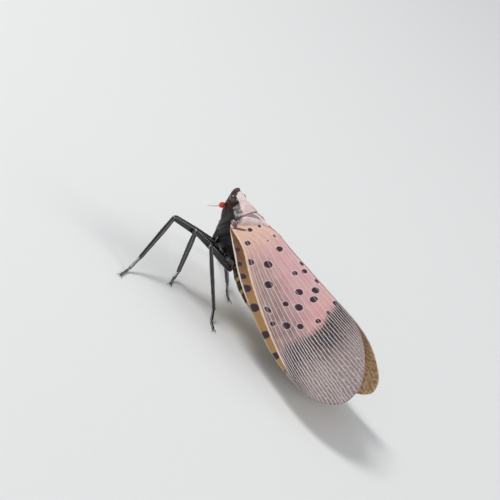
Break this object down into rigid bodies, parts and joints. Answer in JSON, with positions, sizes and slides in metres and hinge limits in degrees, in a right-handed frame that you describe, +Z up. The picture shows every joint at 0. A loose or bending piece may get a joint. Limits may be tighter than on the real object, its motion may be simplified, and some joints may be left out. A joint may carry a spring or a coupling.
{
  "type": "spotted lanternfly",
  "caption": "Life-size still model of a spotted lanternfly standing with roof-like spotted wings closed over its back.",
  "frame": {"origin": "middle of the model's outline on the floor, under its feet", "axes": "+Z up, the head looks along -Y, the insect's left side is +X"},
  "size_m": [0.021, 0.0274, 0.0112],
  "materials": {
    "chitin_black": "satin",
    "face": "satin",
    "eye": "gloss",
    "antenna_bulb": "satin",
    "shield": "matte",
    "abdomen_skin": "satin",
    "forewing_membrane": "satin",
    "hindwing_membrane": "matte"
  },
  "bodies": {
    "root": {"head": "face", "pronotum": "shield", "mesonotum": "shield", "thorax": "chitin_black", "abdomen": "abdomen_skin", "rostrum": "chitin_black", "eye_left": "eye", "antenna_left": "antenna_bulb", "tegula_left": "shield", "forewing_left": "forewing_membrane", "hindwing_left": "hindwing_membrane", "eye_right": "eye", "antenna_right": "antenna_bulb", "tegula_right": "shield", "forewing_right": "forewing_membrane", "hindwing_right": "hindwing_membrane", "coxa_fore_left": "chitin_black", "femur_fore_left": "chitin_black", "tibia_fore_left": "chitin_black", "tarsus_fore_left": "chitin_black", "coxa_mid_left": "chitin_black", "femur_mid_left": "chitin_black", "tibia_mid_left": "chitin_black", "tarsus_mid_left": "chitin_black", "coxa_hind_left": "chitin_black", "femur_hind_left": "chitin_black", "tibia_hind_left": "chitin_black", "tarsus_hind_left": "chitin_black", "coxa_fore_right": "chitin_black", "femur_fore_right": "chitin_black", "tibia_fore_right": "chitin_black", "tarsus_fore_right": "chitin_black", "coxa_mid_right": "chitin_black", "femur_mid_right": "chitin_black", "tibia_mid_right": "chitin_black", "tarsus_mid_right": "chitin_black", "coxa_hind_right": "chitin_black", "femur_hind_right": "chitin_black", "tibia_hind_right": "chitin_black", "tarsus_hind_right": "chitin_black"}
  },
  "joints": []
}
